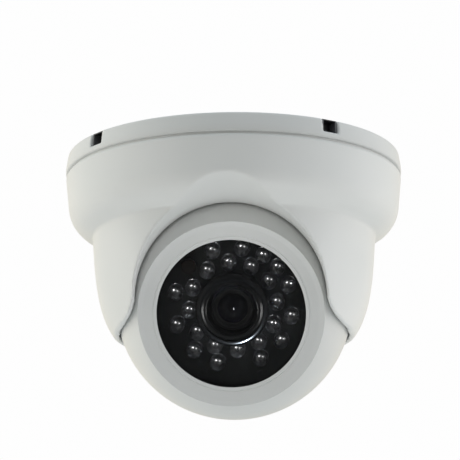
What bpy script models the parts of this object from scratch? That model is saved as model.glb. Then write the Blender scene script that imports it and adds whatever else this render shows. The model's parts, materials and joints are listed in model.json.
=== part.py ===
"""Dome CCTV camera: ceiling base, turning cover, and an eyeball that tilts inside the cover.

Frame: +Z up into the ceiling, origin at the centre of the ceiling face, lens toward -Y.
All lengths below are in millimetres and become metres where a mesh is made.  An azimuth is
measured in degrees from -Y (front) toward +X.  The pieces of the ball are turned about the
lens axis, in a frame at the ball's centre whose local +Z points out through the lens.
"""
import math

import bmesh
import bpy
from mathutils import Vector

MM = 0.001
GAP = 0.3                     # clearance between pieces that touch
ROUND = 36                    # sides of a large turned piece
SMALL_ROUND = 16              # sides of a small turned piece

# Base, fixed to the ceiling
BASE_R = 56.5
BASE_TOP_R = 55.8
BASE_H = 6.4
RIM_INNER_R = 52.6
WEB_TOP = -4.8
HUB_R = 13.4
NOTCH_WIDTH = 5.8
NOTCH_DEPTH = 4.4
NOTCH_AZIMUTHS = [36.6, 129.6, 216.6, 309.6]           # two pairs, each pair opposite
LOCK_SCREW_AZIMUTH = 173.5
LOCK_SCREW_Z = -2.4
PLATE_R = 49.6
PLATE_T = 1.5
PLATE_HOLE_R = 16.0
TAB_WIDTH = 4.6
TAB_REACH = 54.7
TAB_START = 48.0              # where the tabs leave the plate, inside its edge
SLOT_R = 34.0                 # pitch radius of the ceiling screw slots
SLOT_WIDTH = 4.8
SLOT_LENGTH = 13.0

# Pan rotor, which turns under the base and carries the cover
ROTOR_TOP = -6.9
ROTOR_BOTTOM = -10.1
ROTOR_R = 52.6
SPIGOT_R = 12.9
SPIGOT_BORE = 9.5
STOP_R = 40.0                 # radius of the stop lug that limits panning
POST_R = 49.3                 # pitch radius of the cover screws and their posts
POST_SIZE = 3.3
POST_TOP = -9.0
POST_BOTTOM = -14.6
SCREW_AZIMUTHS = [180, 110, -110]
SCREW_SHANK_R = 1.5
SCREW_HEAD_R = 3.0
SCREW_HEAD_TOP = -21.6
SCREW_HEAD_BOTTOM = -23.8
HEX_SOCKET_R = 1.15

# Nylon ring that presses on the top of the ball
SEAT_INNER_R = 17.0
SEAT_OUTER_R = 22.6
SEAT_TOP = -11.6
SEAT_CLEAR = 0.4              # gap above the ball

# Cover: a hat, then a drum around the ball with a U-shaped front opening
SEAM_Z = -7.1
COVER_R = 56.4
HAT_SHOULDER = (55.5, -16.5)
HAT_FOOT = (47.4, -27.6)
RIM_R = 39.6
RIM_Z = -61.6
SOCKET_R = 40.5               # sphere that clears the ball
SLOT_HALF = 31.3              # half width of the front opening
ARCH_Z = -54.6                # centre height of the opening's round top
SLOT_FILLET = 6.0             # rounding where the opening meets the lower rim
OPENING_DEPTH = 120.0
OPENING_BACK = -8.0           # the opening stops here, ahead of the ball's middle
COLLAR_T = 2.2
COLLAR_BACK = -15.0
CAVITY = [(53.7, 0), (53.2, -15.5), (52.0, -19.5), (49.5, -22.2), (45.6, -24.2), (44.4, -27.5),
          (43.6, -38.0), (42.6, -45.0), (39.6, -52.5)]      # inside of the casting, (radius, height)
BOSS_R = 4.4
HEAD_CLEAR_R = 3.4            # holes for the cover screws: head, then shank
SHANK_CLEAR_R = 2.1
FRONT_FACET = (0.0, 20.5, 41.6)       # azimuth, slope below level, distance from ball centre
CHEEK_FACETS = [(57.0, 11.0, 43.9), (-57.0, 11.0, 43.9)]

# Ball
BALL_Z = -49.2
BALL_R = 39.5
BALL_INNER_R = 36.7
TILT = 22.5                   # lens axis below level at rest
SPLIT_A = -4.0                # plane where the two shells meet
CABLE_HOLE_R = 5.3
LEDGE_FRONT = 12.6            # ledge inside the front shell that the module's flange turns against
LEDGE_BACK = 10.0
LEDGE_R = 31.2
SHELL_SCREW_PITCH_R = 33.6
SHELL_BOSS_R = 2.9
BEZEL_R = 30.45
BEZEL_INNER_R = 24.3
BEZEL_FRONT = 25.5
WINDOW_FRONT = 24.2
WINDOW_T = 1.7
SEAT_A = 20.9                 # floor that the bezel and the window gasket sit on

# Camera module, which turns about the lens axis inside the ball
FRAME_R = 29.8
FRAME_FLANGE_R = 32.6
BOARD_FRONT = 5.6
BOARD_T = 1.6
LED_BOARD_R = 27.4
LED_RING_R = [14.6, 19.6]
LED_INNER_ANGLES = [4.5 + 30 * k for k in range(12)]
LED_OUTER_ANGLES = [-162.5, -132.5, -106.5, -63.5, -36.5, -10.5, 20.5, 40.5, 58.5, 80, 109, 165.5]
SENSOR_ANGLE = 138.0
LED_R = 2.5
LED_FLANGE_R = 2.6
LED_H = 8.6
HOOD_R = 11.7
HOOD_LIP_R = 12.1
HOOD_BORE = 8.6
HOOD_FRONT = 18.5

# Colours: base colour, metallic, roughness
WHITE = ((0.78, 0.79, 0.78), 0.0, 0.45)
GREY = ((0.42, 0.43, 0.45), 0.0, 0.4)
BLACK = ((0.012, 0.012, 0.014), 0.0, 0.5)
STEEL = ((0.55, 0.56, 0.58), 1.0, 0.35)
RUBBER = ((0.02, 0.02, 0.02), 0.0, 0.8)
NYLON = ((0.7, 0.69, 0.64), 0.0, 0.6)
GLASS = ((0.02, 0.02, 0.03), 0.0, 0.05)
LENS = ((0.05, 0.06, 0.12), 0.0, 0.03)
BOARD = ((0.01, 0.05, 0.02), 0.0, 0.5)
CHIP = ((0.03, 0.03, 0.035), 0.0, 0.3)
LED_CLEAR = ((0.75, 0.77, 0.8), 0.0, 0.08)


def clear_scene():
    for obj in list(bpy.data.objects):
        bpy.data.objects.remove(obj, do_unlink=True)


def collection(name):
    made = bpy.data.collections.new(name)
    bpy.context.scene.collection.children.link(made)
    return made


def material(name, look):
    made = bpy.data.materials.get(name)
    if made:
        return made
    colour, metallic, roughness = look
    made = bpy.data.materials.new(name)
    made.use_nodes = True
    shader = made.node_tree.nodes["Principled BSDF"]
    shader.inputs["Base Color"].default_value = (*colour, 1.0)
    shader.inputs["Metallic"].default_value = metallic
    shader.inputs["Roughness"].default_value = roughness
    return made


def polar(radius, azimuth, height=0.0):
    turn = math.radians(azimuth)
    return Vector((radius * math.sin(turn), -radius * math.cos(turn), height))


def arc(radius, start, end, steps, centre=(0.0, 0.0)):
    """Points on a circle; the angles are in degrees from the profile's +radius axis."""
    points = []
    for i in range(steps + 1):
        angle = math.radians(start + (end - start) * i / steps)
        points.append((centre[0] + radius * math.cos(angle), centre[1] + radius * math.sin(angle)))
    return points


def bezier(p0, p1, p2, p3, steps):
    points = []
    for i in range(steps + 1):
        t = i / steps
        weights = ((1 - t) ** 3, 3 * t * (1 - t) ** 2, 3 * t * t * (1 - t), t ** 3)
        points.append(tuple(sum(w * p[k] for w, p in zip(weights, (p0, p1, p2, p3))) for k in (0, 1)))
    return points


def sphere_a(radius, rho):
    """Height on a sphere about the ball's centre at a given distance from the lens axis."""
    return math.sqrt(radius * radius - rho * rho)


def finish_mesh(mesh, smooth=True):
    if smooth:
        mesh.shade_smooth()
        mesh.set_sharp_from_angle(angle=math.radians(35))


def add_object(name, mesh, where, look=None, parent=None):
    obj = bpy.data.objects.new(name, mesh)
    where.objects.link(obj)
    if look:
        mesh.materials.append(look)
    if parent:
        obj.parent = parent
    return obj


def turned(name, outline, where, look=None, parent=None, steps=ROUND, closed=True):
    """A turned piece.  The outline is (radius, height) points, listed down the outer side."""
    mesh = bpy.data.meshes.new(name)
    verts = [(r * MM, 0.0, z * MM) for r, z in outline]
    edges = [(i, i + 1) for i in range(len(verts) - 1)]
    if closed:
        edges.append((len(verts) - 1, 0))
    mesh.from_pydata(verts, edges, [])
    obj = add_object(name, mesh, where, look, parent)
    screw = obj.modifiers.new("Turn", "SCREW")
    screw.axis = "Z"
    screw.angle = 2 * math.pi
    screw.steps = steps
    screw.render_steps = steps
    screw.use_merge_vertices = True
    screw.merge_threshold = 0.00001
    screw.use_smooth_shade = True
    return obj


def box(name, size, centre, where, look=None, parent=None, turn=(0.0, 0.0, 0.0)):
    mesh = bpy.data.meshes.new(name)
    shape = bmesh.new()
    bmesh.ops.create_cube(shape, size=1.0)
    bmesh.ops.scale(shape, vec=Vector(size) * MM, verts=shape.verts)
    shape.to_mesh(mesh)
    shape.free()
    obj = add_object(name, mesh, where, look, parent)
    obj.location = Vector(centre) * MM
    obj.rotation_euler = [math.radians(angle) for angle in turn]
    return obj


def rod(name, radius, length, centre, where, look=None, parent=None, turn=(0.0, 0.0, 0.0), sides=16):
    """A cylinder whose axis is local Z."""
    mesh = bpy.data.meshes.new(name)
    shape = bmesh.new()
    bmesh.ops.create_cone(shape, cap_ends=True, segments=sides, radius1=radius * MM,
                          radius2=radius * MM, depth=length * MM)
    shape.to_mesh(mesh)
    shape.free()
    finish_mesh(mesh)
    obj = add_object(name, mesh, where, look, parent)
    obj.location = Vector(centre) * MM
    obj.rotation_euler = [math.radians(angle) for angle in turn]
    return obj


def prism(name, outline, depth, where):
    """A flat XZ outline extruded along Y, centred on the XZ plane."""
    mesh = bpy.data.meshes.new(name)
    shape = bmesh.new()
    verts = [shape.verts.new((x * MM, -depth / 2 * MM, z * MM)) for x, z in outline]
    face = shape.faces.new(verts)
    pushed = bmesh.ops.extrude_face_region(shape, geom=[face])
    moved = [item for item in pushed["geom"] if isinstance(item, bmesh.types.BMVert)]
    bmesh.ops.translate(shape, vec=(0.0, depth * MM, 0.0), verts=moved)
    bmesh.ops.recalc_face_normals(shape, faces=shape.faces)
    shape.to_mesh(mesh)
    shape.free()
    return add_object(name, mesh, where)


def ball(name, radius, centre, where, parent=None, sides=ROUND):
    mesh = bpy.data.meshes.new(name)
    shape = bmesh.new()
    bmesh.ops.create_uvsphere(shape, u_segments=sides, v_segments=sides // 2, radius=radius * MM)
    shape.to_mesh(mesh)
    shape.free()
    finish_mesh(mesh)
    obj = add_object(name, mesh, where, parent=parent)
    obj.location = Vector(centre) * MM
    return obj


def boolean(obj, tool, operation="DIFFERENCE"):
    step = obj.modifiers.new(tool.name, "BOOLEAN")
    step.operation = operation
    step.solver = "EXACT"
    step.object = tool
    tool.hide_render = True
    tool.display_type = "WIRE"


def empty(name, centre, where, turn=(0.0, 0.0, 0.0), parent=None):
    obj = bpy.data.objects.new(name, None)
    where.objects.link(obj)
    obj.location = Vector(centre) * MM
    obj.rotation_euler = [math.radians(angle) for angle in turn]
    obj.parent = parent
    return obj


# ---------------------------------------------------------------- base

def make_mount_base(parts, tools):
    outline = [(BASE_TOP_R - 0.4, 0), (BASE_TOP_R, -0.4), (BASE_R, -4.4), (BASE_R, -BASE_H + 0.5),
               (BASE_R - 0.5, -BASE_H), (HUB_R, -BASE_H), (HUB_R, WEB_TOP),
               (RIM_INNER_R, WEB_TOP), (RIM_INNER_R, 0)]
    base = turned("mount_base", outline, parts, material("white_powder_coat", WHITE))
    lug = box("stop_lug_shape", (3.0, 3.2, 3.6), polar(STOP_R, 180, -6.8), tools)
    boolean(base, lug, "UNION")
    for i, azimuth in enumerate(NOTCH_AZIMUTHS):
        notch = box(f"notch_cut_{i}", (NOTCH_WIDTH, 8, 2 * NOTCH_DEPTH),
                    polar(54.5, azimuth), tools, turn=(0, 0, azimuth))
        boolean(base, notch)
    hole = rod("lock_screw_cut", 1.7, 12, polar(54, LOCK_SCREW_AZIMUTH, LOCK_SCREW_Z), tools,
               turn=(90, 0, LOCK_SCREW_AZIMUTH))
    boolean(base, hole)


def make_ceiling_plate(parts, tools):
    outline = [(PLATE_R, 0), (PLATE_R, -PLATE_T), (PLATE_HOLE_R, -PLATE_T), (PLATE_HOLE_R, 0)]
    plate = turned("ceiling_plate", outline, parts, material("zinc_steel", STEEL))
    for i, azimuth in enumerate(NOTCH_AZIMUTHS):
        arm = box(f"tab_arm_{i}", (TAB_WIDTH, TAB_REACH - TAB_START, PLATE_T),
                  polar((TAB_REACH + TAB_START) / 2, azimuth, -PLATE_T / 2), tools, turn=(0, 0, azimuth))
        boolean(plate, arm, "UNION")
        leaf = box(f"tab_leaf_{i}", (TAB_WIDTH - 0.4, 1.4, 3.4),
                   polar(TAB_REACH - 0.9, azimuth, -2.3), tools, turn=(0, 0, azimuth))
        boolean(plate, leaf, "UNION")
    for i, azimuth in enumerate((90, -90)):
        slot = box(f"slot_cut_{i}", (SLOT_LENGTH - SLOT_WIDTH, SLOT_WIDTH, 6), polar(SLOT_R, azimuth),
                   tools, turn=(0, 0, azimuth))
        boolean(plate, slot)
        for end in (-1, 1):
            middle = polar(SLOT_R, azimuth)
            along = Vector((math.cos(math.radians(azimuth)), math.sin(math.radians(azimuth)), 0))
            tip = rod(f"slot_end_{i}_{end}", SLOT_WIDTH / 2, 6,
                      middle + along * end * (SLOT_LENGTH - SLOT_WIDTH) / 2, tools)
            boolean(plate, tip)


def make_base_details(parts):
    rubber = material("black_rubber", RUBBER)
    grommet = [(PLATE_HOLE_R + 2, -PLATE_T - GAP), (PLATE_HOLE_R + 2, -2.6), (3.3, -2.6), (3.3, 0.0),
               (PLATE_HOLE_R - GAP, 0.0), (PLATE_HOLE_R - GAP, -PLATE_T - GAP)]
    turned("cable_grommet", grommet, parts, rubber, steps=24)
    seal = [(52.6, -BASE_H - GAP), (52.6, -7.7), (50.2, -7.7), (50.2, -BASE_H - GAP)]
    turned("rim_seal", seal, parts, rubber)
    rod("base_lock_screw", 1.4, 4.2, polar(53.6, LOCK_SCREW_AZIMUTH, LOCK_SCREW_Z), parts,
        material("zinc_steel", STEEL), turn=(90, 0, LOCK_SCREW_AZIMUTH), sides=12)


# ---------------------------------------------------------------- pan rotor and cover

def make_pan_rotor(parts, tools):
    outline = [(SPIGOT_R, -3.2), (SPIGOT_R, -3.5), (12.0, -3.5), (12.0, -4.5), (SPIGOT_R, -4.5),
               (SPIGOT_R, ROTOR_TOP), (49.4, ROTOR_TOP), (49.4, -8.2), (ROTOR_R, -8.2),
               (ROTOR_R, ROTOR_BOTTOM), (25.0, ROTOR_BOTTOM), (25.0, -13.5), (23.0, -13.5),
               (23.0, ROTOR_BOTTOM), (SPIGOT_BORE, ROTOR_BOTTOM), (SPIGOT_BORE, -3.2)]
    rotor = turned("pan_rotor", outline, parts, material("cast_zinc", STEEL))
    groove = turned("stop_groove_cut", [(42.4, -5), (42.4, -9.1), (37.6, -9.1), (37.6, -5)], tools)
    rib = box("stop_rib_shape", (3.2, 8, 8), polar(STOP_R, 0, -7), tools)
    boolean(groove, rib)
    boolean(rotor, groove)
    for i, azimuth in enumerate(SCREW_AZIMUTHS):
        middle = polar(POST_R, azimuth, (POST_TOP + POST_BOTTOM) / 2)
        post = rod(f"post_shape_{i}", POST_SIZE, POST_TOP - POST_BOTTOM, middle, tools)
        boolean(rotor, post, "UNION")
        thread = rod(f"thread_cut_{i}", 1.8, 8, polar(POST_R, azimuth, -13.2), tools, sides=12)
        boolean(rotor, thread)


def make_pan_details(parts, tools):
    ring = [(16.5, -3.6), (16.5, -4.4), (12.3, -4.4), (12.3, -3.6)]
    clip = turned("pan_retaining_ring", ring, parts, material("spring_steel", STEEL), steps=24)
    mouth = box("clip_mouth_cut", (6, 8, 4), polar(14.5, 180, -4), tools)
    boolean(clip, mouth)
    spring = [(22.4, -10.5), (22.4, -11.2), (17.0, -11.2), (17.0, -10.5)]
    turned("seat_spring", spring, parts, material("spring_steel", STEEL), steps=24)
    touching = (SEAT_OUTER_R, 20.8, 18.9, SEAT_INNER_R)
    rests = [(rho, BALL_Z + sphere_a(BALL_R + SEAT_CLEAR, rho)) for rho in touching]
    seat = [(SEAT_OUTER_R, SEAT_TOP)] + rests + [(SEAT_INNER_R, SEAT_TOP)]
    turned("ball_seat", seat, parts, material("nylon", NYLON))
    for i, azimuth in enumerate(SCREW_AZIMUTHS):
        outline = [(0, -9.6), (SCREW_SHANK_R, -9.6), (SCREW_SHANK_R, SCREW_HEAD_TOP),
                   (SCREW_HEAD_R, SCREW_HEAD_TOP), (SCREW_HEAD_R, SCREW_HEAD_BOTTOM + 0.4),
                   (SCREW_HEAD_R - 0.4, SCREW_HEAD_BOTTOM), (0, SCREW_HEAD_BOTTOM)]
        screw = turned(f"cover_screw_{i + 1}", outline, parts, material("stainless", STEEL),
                       steps=12, closed=False)
        screw.location = polar(POST_R, azimuth) * MM
        foot = polar(POST_R, azimuth, SCREW_HEAD_BOTTOM)
        socket = rod(f"socket_cut_{i}", HEX_SOCKET_R, 2.4, foot, tools, sides=6)
        boolean(screw, socket)


def cover_outline():
    """The cover's outer side, from the seam down to the lower rim."""
    top = [(COVER_R - 0.7, SEAM_Z), (COVER_R, SEAM_Z - 0.6)]
    rounding = bezier(HAT_SHOULDER, (55.0, -22.0), (52.5, -25.2), HAT_FOOT, 5)
    drum = bezier((47.3, -28.6), (46.6, -42.0), (45.5, -54.0), (RIM_R + 0.2, RIM_Z + 0.2), 7)
    return top + rounding + drum + [(RIM_R - 0.3, RIM_Z)]


def make_cover(parts, tools):
    skin = cover_outline()
    body = [(0, SEAM_Z)] + skin + [(0, RIM_Z)]
    cover = turned("cover_shell", body, parts, material("white_powder_coat", WHITE), closed=False)
    cavity = [(0, CAVITY[0][1])] + CAVITY + [(0, CAVITY[-1][1])]
    boolean(cover, turned("cavity_cut", cavity, tools, closed=False))
    for i, azimuth in enumerate(SCREW_AZIMUTHS):
        boss = rod(f"boss_shape_{i}", BOSS_R, 20, polar(POST_R, azimuth, -25), tools)
        boolean(boss, outer_copy(f"boss_limit_{i}", tools), "INTERSECT")
        boolean(cover, boss, "UNION")
    collar_length = 50.0
    collar = rod("collar_shape", SLOT_HALF + COLLAR_T, collar_length,
                 (0, COLLAR_BACK - collar_length / 2, ARCH_Z), tools, turn=(90, 0, 0), sides=ROUND)
    boolean(collar, outer_copy("collar_limit", tools), "INTERSECT")
    boolean(cover, collar, "UNION")
    boolean(cover, ball("socket_cut", SOCKET_R, (0, 0, BALL_Z), tools))
    opening = prism("opening_cut", opening_outline(), OPENING_DEPTH, tools)
    opening.location.y = (OPENING_BACK - OPENING_DEPTH / 2) * MM
    boolean(cover, opening)
    for i, facet in enumerate([FRONT_FACET] + CHEEK_FACETS):
        boolean(cover, facet_tool(f"facet_cut_{i}", facet, tools))
    for i, azimuth in enumerate(SCREW_AZIMUTHS):
        head = rod(f"head_cut_{i}", HEAD_CLEAR_R, 12, polar(POST_R, azimuth, -27.3), tools)
        boolean(cover, head)
        shank = rod(f"shank_cut_{i}", SHANK_CLEAR_R, 16, polar(POST_R, azimuth, -20), tools, sides=12)
        boolean(cover, shank)


def outer_copy(name, tools):
    """A slightly smaller copy of the cover's outer form, to trim what is added inside it."""
    skin = [(r - 0.6, z) for r, z in cover_outline()]
    return turned(name, [(0, SEAM_Z)] + skin + [(0, RIM_Z)], tools, closed=False)


def opening_outline():
    """Round-topped U, with its lower corners rounded outward into the cover's rim."""
    top = arc(SLOT_HALF, 0, 180, 28, (0, ARCH_Z))
    fillet_z = RIM_Z + SLOT_FILLET - 0.4
    right = arc(SLOT_FILLET, 270, 180, 5, (SLOT_HALF + SLOT_FILLET, fillet_z))
    left = [(-x, z) for x, z in reversed(right)]
    return top + left + [(-60, fillet_z - SLOT_FILLET), (-60, -90), (60, -90),
                         (60, fillet_z - SLOT_FILLET)] + right


def facet_tool(name, facet, tools):
    """A box whose near face is a plane that faces azimuth and slopes below level."""
    azimuth, slope, distance = facet
    size = 60.0
    flat = polar(math.cos(math.radians(slope)), azimuth, -math.sin(math.radians(slope)))
    centre = Vector((0, 0, BALL_Z)) + flat * (distance + size / 2)
    return box(name, (size, size, size), centre, tools, turn=(slope, 0, azimuth))


# ---------------------------------------------------------------- ball

def make_ball_shells(parts, tools, eye):
    white = material("white_powder_coat", WHITE)
    rim_rho = BEZEL_R + GAP
    split_angle = math.degrees(math.asin(SPLIT_A / BALL_R))
    rim_angle = math.degrees(math.acos(rim_rho / BALL_R))
    outside = arc(BALL_R, rim_angle, split_angle, 7)
    floor_back = SEAT_A - 2.4
    inner_rim = math.degrees(math.asin(floor_back / BALL_INNER_R))
    inner_split = math.degrees(math.asin(SPLIT_A / BALL_INNER_R))
    ledge_front = math.degrees(math.asin(LEDGE_FRONT / BALL_INNER_R))
    ledge_back = math.degrees(math.asin(LEDGE_BACK / BALL_INNER_R))
    inside = arc(BALL_INNER_R, inner_split, ledge_back, 4)
    inside += [(LEDGE_R, LEDGE_BACK), (LEDGE_R, LEDGE_FRONT)]
    inside += arc(BALL_INNER_R, ledge_front, inner_rim, 2)
    front = outside + inside + [(26.4, floor_back), (26.4, SEAT_A), (rim_rho, SEAT_A)]
    shell = turned("ball_front_shell", front, parts, white, eye)
    back_a = SPLIT_A - GAP
    rebate = back_a - 1.2
    outer_split = math.degrees(math.asin(back_a / BALL_R))
    outside = arc(BALL_R, outer_split, -math.degrees(math.acos(CABLE_HOLE_R / BALL_R)), 9)
    inside = arc(BALL_INNER_R, -math.degrees(math.acos(CABLE_HOLE_R / BALL_INNER_R)),
                 math.degrees(math.asin(rebate / BALL_INNER_R)), 6)
    back = outside + inside + [(38.0, rebate), (38.0, back_a)]
    rear = turned("ball_rear_shell", back, parts, white, eye)
    for i in range(3):
        spot = polar(SHELL_SCREW_PITCH_R, 60 + 120 * i)
        rear_spot = (spot.x, spot.y, back_a - 7.0 - 1.3)
        boss = rod(f"rear_boss_{i}", SHELL_BOSS_R, 14.0, rear_spot, tools, parent=eye)
        boolean(boss, ball(f"rear_boss_limit_{i}", BALL_R - 0.8, (0, 0, 0), tools, eye), "INTERSECT")
        boolean(rear, boss, "UNION")
        front_spot = (spot.x, spot.y, SPLIT_A + 4.3 + 0.02)
        nut = rod(f"front_boss_{i}", SHELL_BOSS_R, 8.6, front_spot, tools, parent=eye)
        boolean(nut, ball(f"front_boss_limit_{i}", BALL_R - 0.8, (0, 0, 0), tools, eye), "INTERSECT")
        boolean(shell, nut, "UNION")
        boolean(shell, rod(f"front_thread_{i}", 1.3, 9, (spot.x, spot.y, -2.6), tools, parent=eye, sides=12))
        boolean(rear, rod(f"rear_bore_{i}", 1.5, 30, (spot.x, spot.y, -12), tools, parent=eye, sides=12))
        boolean(rear, rod(f"rear_pocket_{i}", 2.3, 24, (spot.x, spot.y, -24.3), tools, parent=eye, sides=12))
        outline = [(0, 1.2), (1.0, 1.2), (1.0, -12.6), (2.0, -12.6), (2.0, -14.2), (0, -14.2)]
        screw = turned(f"shell_screw_{i + 1}", outline, parts, material("stainless", STEEL), eye,
                       steps=16, closed=False)
        screw.location = Vector((spot.x, spot.y, 0)) * MM


def make_ball_trim(parts, eye):
    rubber = material("black_rubber", RUBBER)
    gasket = [(37.7, -4.6), (37.7, -5.2), (36.0, -5.2), (36.0, -4.6)]
    turned("ball_gasket", gasket, parts, rubber, eye)
    leg = SEAT_A + GAP
    bezel = [(BEZEL_R - 1.0, BEZEL_FRONT), (BEZEL_R - 0.35, BEZEL_FRONT - 0.1), (BEZEL_R, BEZEL_FRONT - 0.5),
             (BEZEL_R, leg), (28.4, leg), (28.4, WINDOW_FRONT + GAP), (BEZEL_INNER_R, WINDOW_FRONT + GAP),
             (BEZEL_INNER_R + 0.25, BEZEL_FRONT - 0.35), (BEZEL_INNER_R + 0.9, BEZEL_FRONT)]
    turned("bezel_ring", bezel, parts, material("grey_paint", GREY), eye)
    back = WINDOW_FRONT - WINDOW_T
    glass = [(0, WINDOW_FRONT), (27.8, WINDOW_FRONT), (28.0, WINDOW_FRONT - 0.2), (28.0, back), (0, back)]
    turned("window_glass", glass, parts, material("smoked_glass", GLASS), eye, closed=False)
    pad = [(28.0, back - GAP), (28.0, leg), (25.9, leg), (25.9, back - GAP)]
    turned("window_gasket", pad, parts, rubber, eye)
    clamp = [(34.2, 7.2), (34.2, 5.2), (30.4, 5.2), (30.4, 7.2)]
    turned("roll_clamp_ring", clamp, parts, material("black_plastic", BLACK), eye)
    gland = [(0, -34.0), (7.0, -34.0), (7.0, -35.6), (4.9, -35.8), (4.9, -38.9), (0, -39.3)]
    turned("ball_cable_gland", gland, parts, rubber, eye, steps=SMALL_ROUND, closed=False)


# ---------------------------------------------------------------- camera module

def make_module(parts, tools, eye):
    black = material("black_plastic", BLACK)
    outline = [(FRAME_FLANGE_R, 9.6), (FRAME_FLANGE_R, 7.6), (FRAME_R, 7.6), (FRAME_R, -10.5),
               (8.0, -10.5), (8.0, -9.0), (28.0, -9.0), (28.0, 2.0), (26.0, 2.0), (26.0, 3.7),
               (28.0, 3.7), (28.0, 9.6)]
    turned("module_frame", outline, parts, black, eye)
    board = [(LED_BOARD_R, BOARD_FRONT), (LED_BOARD_R, BOARD_FRONT - BOARD_T),
             (9.6, BOARD_FRONT - BOARD_T), (9.6, BOARD_FRONT)]
    turned("led_board", board, parts, material("black_board", CHIP), eye)
    hood = [(HOOD_LIP_R - 0.6, HOOD_FRONT), (HOOD_LIP_R, HOOD_FRONT - 0.6), (HOOD_LIP_R, 15.6),
            (HOOD_R, 15.0), (HOOD_R, BOARD_FRONT + GAP), (HOOD_BORE, BOARD_FRONT + GAP), (HOOD_BORE, 15.4),
            (10.4, HOOD_FRONT)]
    turned("lens_hood", hood, parts, black, eye, steps=24)
    holder = [(8.1, 3.3), (8.1, -5.6), (6.3, -5.6), (6.3, 3.3)]
    tube = turned("lens_holder", holder, parts, black, eye, steps=SMALL_ROUND)
    foot = box("holder_foot", (18, 18, 1.6), (0, 0, -4.85), tools, parent=eye)
    boolean(foot, rod("holder_foot_bore", 7.0, 8, (0, 0, -4.85), tools, parent=eye))
    boolean(tube, foot, "UNION")
    green = material("green_board", BOARD)
    box("sensor_board", (36, 36, 1.6), (0, 0, -6.9), parts, green, eye)
    box("image_sensor", (8.4, 8.4, 1.1), (0, 0, -5.2), parts, material("chip", CHIP), eye)
    power = [(0, -14.4), (23.0, -14.4), (23.0, -16.0), (0, -16.0)]
    turned("power_board", power, parts, green, eye, steps=24, closed=False)
    box("power_connector", (12.0, 5.8, 6.0), (0, 10, -19.3), parts, material("nylon", NYLON), eye)


def make_leds(parts, eye):
    clear = material("led_clear", LED_CLEAR)
    base = BOARD_FRONT + GAP
    top = base + LED_H
    outline = [(0, top)] + arc(LED_R, 60, 0, 2, (0, top - LED_R))
    outline += [(LED_R, base + 1.0), (LED_FLANGE_R, base + 1.0), (LED_FLANGE_R, base), (0, base)]
    spots = [(LED_RING_R[0], angle) for angle in LED_INNER_ANGLES]
    spots += [(LED_RING_R[1], angle) for angle in LED_OUTER_ANGLES]
    for i, (radius, angle) in enumerate(spots):
        led = turned(f"ir_led_{i + 1:02d}", outline, parts, clear, eye, steps=8, closed=False)
        turn = math.radians(angle)
        led.location = (radius * math.cos(turn) * MM, radius * math.sin(turn) * MM, 0.0)
    turn = math.radians(SENSOR_ANGLE)
    cell = [(0, base + 2.4), (2.3, base + 2.4), (2.5, base + 2.1), (2.5, base), (0, base)]
    sensor = turned("light_sensor", cell, parts, material("sensor_cell", NYLON), eye, steps=16, closed=False)
    sensor.location = (LED_RING_R[1] * math.cos(turn) * MM, LED_RING_R[1] * math.sin(turn) * MM, 0.0)


def make_lens(parts, eye):
    black = material("lens_black", BLACK)
    barrel = [(6.6, 15.2), (7.0, 14.8), (7.0, 6.6), (5.9, 6.2), (5.9, -3.4), (4.4, -3.4), (4.4, 12.4),
              (5.2, 12.4), (5.2, 13.4), (6.2, 15.2)]
    turned("lens_barrel", barrel, parts, black, eye, steps=SMALL_ROUND)
    glass = [(0, 14.6), (2.4, 14.3), (4.0, 13.5), (4.9, 12.8), (4.9, 12.7), (0, 12.7)]
    turned("lens_front_glass", glass, parts, material("coated_glass", LENS), eye,
           steps=SMALL_ROUND, closed=False)
    ring = [(8.4, 5.8), (8.4, 3.7), (6.25, 3.7), (6.25, 5.8)]
    turned("lens_lock_ring", ring, parts, black, eye, steps=SMALL_ROUND)


def main():
    clear_scene()
    parts = collection("dome_cctv_camera")
    tools = collection("cutters")
    pan = empty("pan_axis", (0, 0, 0), parts)
    eye = empty("lens_axis", (0, 0, BALL_Z), parts, turn=(90 + TILT, 0, 0), parent=pan)
    make_mount_base(parts, tools)
    make_ceiling_plate(parts, tools)
    make_base_details(parts)
    make_pan_rotor(parts, tools)
    make_pan_details(parts, tools)
    make_cover(parts, tools)
    make_ball_shells(parts, tools, eye)
    make_ball_trim(parts, eye)
    make_module(parts, tools, eye)
    make_leds(parts, eye)
    make_lens(parts, eye)


main()
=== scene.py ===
"""Looks of the dome CCTV camera, around its frame: covers, ball, window, infrared lamps and lens.

Lengths are in millimetres until a mesh is made.  Azimuths run from -Y (front) toward +X.
Turned pieces of the ball are drawn about the lens axis: radius, then height toward the window.
"""
import json
import math

import bpy
import numpy as np
from mathutils import Matrix, Vector


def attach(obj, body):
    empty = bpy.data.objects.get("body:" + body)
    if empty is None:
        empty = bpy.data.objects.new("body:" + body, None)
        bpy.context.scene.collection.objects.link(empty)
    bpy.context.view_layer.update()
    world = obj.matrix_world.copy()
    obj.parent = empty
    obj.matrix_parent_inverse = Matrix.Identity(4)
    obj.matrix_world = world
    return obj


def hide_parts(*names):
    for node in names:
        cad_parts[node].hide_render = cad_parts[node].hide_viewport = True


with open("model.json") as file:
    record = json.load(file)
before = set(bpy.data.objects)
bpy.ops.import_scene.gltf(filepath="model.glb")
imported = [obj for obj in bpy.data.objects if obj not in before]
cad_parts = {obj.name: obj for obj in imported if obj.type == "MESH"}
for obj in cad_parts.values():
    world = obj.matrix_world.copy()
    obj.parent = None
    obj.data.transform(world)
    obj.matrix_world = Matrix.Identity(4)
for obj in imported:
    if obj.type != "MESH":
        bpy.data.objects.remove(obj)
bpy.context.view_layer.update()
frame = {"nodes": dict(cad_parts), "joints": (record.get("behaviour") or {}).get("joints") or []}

MM = 0.001

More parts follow.
